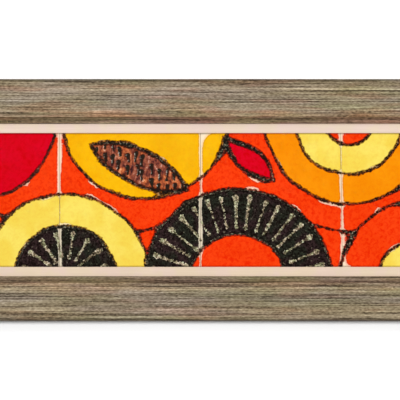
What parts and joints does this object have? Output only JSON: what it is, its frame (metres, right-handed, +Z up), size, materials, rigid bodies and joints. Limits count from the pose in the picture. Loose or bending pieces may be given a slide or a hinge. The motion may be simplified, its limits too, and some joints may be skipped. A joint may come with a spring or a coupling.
{
  "type": "framed hand-painted tile panel",
  "caption": "Long wall panel: a row of square glazed ceramic tiles behind a painted liner, in a wide weathered wood frame with mitred corners.",
  "frame": {"origin": "middle of the top rail's back face, on the plane of the wall, where the panel is held", "axes": "+X along the row of tiles, +Z up, +Y out of the back into the wall; the glazed faces look along -Y"},
  "size_m": [0.718, 0.025, 0.2608],
  "materials": {
    "weathered_wood": "wire-brushed grey-brown driftwood stain, rubbed light along the grain and dark in it",
    "painted_liner": "flat warm off-white paint",
    "glazed_tile": "glossy red-orange, amber, yellow, crimson and black glazes in fields outlined by a rough black resist line",
    "hardboard": "plain brown board"
  },
  "bodies": {
    "root": {"frame_rail_top": "weathered_wood", "frame_rail_bottom": "weathered_wood", "frame_rail_left": "weathered_wood", "frame_rail_right": "weathered_wood", "liner_top": "painted_liner", "liner_bottom": "painted_liner", "liner_left": "painted_liner", "liner_right": "painted_liner", "tile_1": "glazed_tile", "tile_2": "glazed_tile", "tile_3": "glazed_tile", "tile_4": "glazed_tile", "backing_board": "hardboard"}
  },
  "joints": []
}
